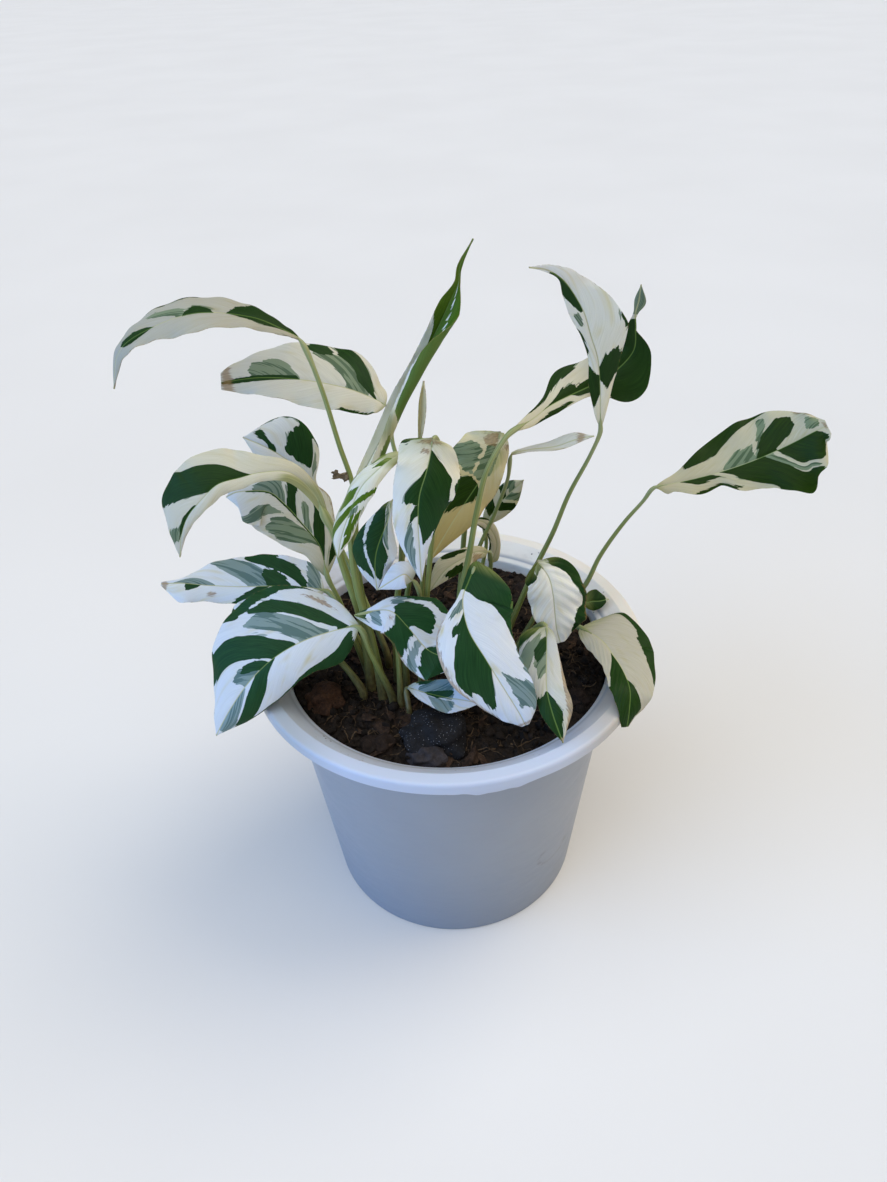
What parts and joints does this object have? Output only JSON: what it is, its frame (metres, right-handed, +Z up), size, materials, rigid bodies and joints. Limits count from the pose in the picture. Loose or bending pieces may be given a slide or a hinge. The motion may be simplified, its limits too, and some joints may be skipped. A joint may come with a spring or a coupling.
{
  "type": "potted prayer plant",
  "caption": "Potted prayer plant: waved white and green patterned leaf blades on slender stalks, rising from soil in a round white plastic pot with a wide lip.",
  "frame": {"origin": "centre of the pot's underside, on the pot's axis, where the pot stands on the surface under it", "axes": "+Z up along the pot's axis; +X to the right and -Y towards the viewer when the plant is seen from its front"},
  "size_m": [0.3335, 0.2, 0.3573],
  "materials": {
    "pot_plastic": "satin",
    "soil": "matte",
    "stalk": "satin",
    "leaf": "satin",
    "leaf_yellowed": "satin",
    "leaf_dry": "matte"
  },
  "bodies": {
    "root": {"leaf_centre_hanging_blade": "leaf", "leaf_centre_hanging_stalk": "stalk", "leaf_cream_back_blade": "leaf_yellowed", "leaf_cream_back_stalk": "stalk", "leaf_curl_back": "leaf_yellowed", "leaf_curled_blade": "leaf", "leaf_curled_stalk": "stalk", "leaf_dried": "leaf_dry", "leaf_far_left_blade": "leaf", "leaf_far_left_stalk": "stalk", "leaf_far_right_blade": "leaf", "leaf_far_right_stalk": "stalk", "leaf_front_centre_blade": "leaf", "leaf_front_centre_stalk": "stalk", "leaf_front_left_blade": "leaf", "leaf_front_left_stalk": "stalk", "leaf_front_right_blade": "leaf", "leaf_front_right_stalk": "stalk", "leaf_left_arch_blade": "leaf", "leaf_left_arch_stalk": "stalk", "leaf_left_back_blade": "leaf", "leaf_left_back_stalk": "stalk", "leaf_left_low_blade": "leaf", "leaf_left_low_stalk": "stalk", "leaf_left_middle_blade": "leaf", "leaf_left_middle_stalk": "stalk", "leaf_left_upper_blade": "leaf", "leaf_left_upper_stalk": "stalk", "leaf_middle_low_blade": "leaf", "leaf_middle_low_stalk": "stalk", "leaf_olive": "leaf", "leaf_right_rim_blade": "leaf", "leaf_right_rim_stalk": "stalk", "leaf_right_small": "leaf", "leaf_right_white_blade": "leaf", "leaf_right_white_stalk": "stalk", "leaf_rolled_blade": "leaf", "leaf_rolled_stalk": "stalk", "leaf_small_spear": "leaf", "leaf_soil_curled": "leaf", "leaf_striped_blade": "leaf", "leaf_striped_stalk": "stalk", "leaf_tall_dark_blade": "leaf", "leaf_tall_dark_stalk": "stalk", "leaf_tall_white_blade": "leaf", "leaf_tall_white_stalk": "stalk", "leaf_under_left_blade": "leaf", "leaf_under_left_stalk": "stalk", "leaf_white_mid_blade": "leaf", "leaf_white_mid_stalk": "stalk", "leaf_yellowed_blade": "leaf_yellowed", "leaf_yellowed_stalk": "stalk", "pot": "pot_plastic", "soil": "soil"}
  },
  "joints": []
}
